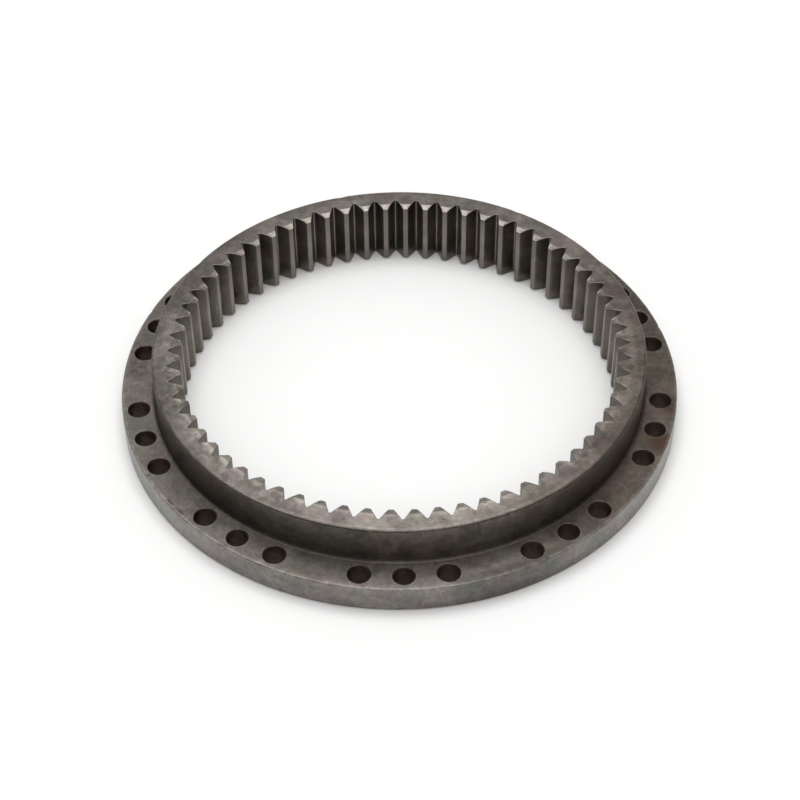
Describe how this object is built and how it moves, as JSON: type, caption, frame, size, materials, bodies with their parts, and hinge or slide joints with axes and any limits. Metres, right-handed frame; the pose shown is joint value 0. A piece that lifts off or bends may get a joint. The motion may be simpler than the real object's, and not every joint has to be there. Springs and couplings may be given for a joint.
{
  "type": "flanged internal ring gear",
  "caption": "One-piece steel ring gear with straight internal teeth over its full height and grouped through holes in a wide low flange.",
  "frame": {"origin": "centre of the flange's underside, on the gear's axis", "axes": "+Z along the gear's axis from the flange towards the rim's toothed top face; -Y through the middle hole of one hole group"},
  "size_m": [0.4, 0.4, 0.051],
  "materials": {
    "forged_steel": "machined steel, lightly oiled, with brown oxide mottling and handling marks"
  },
  "bodies": {
    "root": {"ring_gear": "forged_steel"}
  },
  "joints": []
}
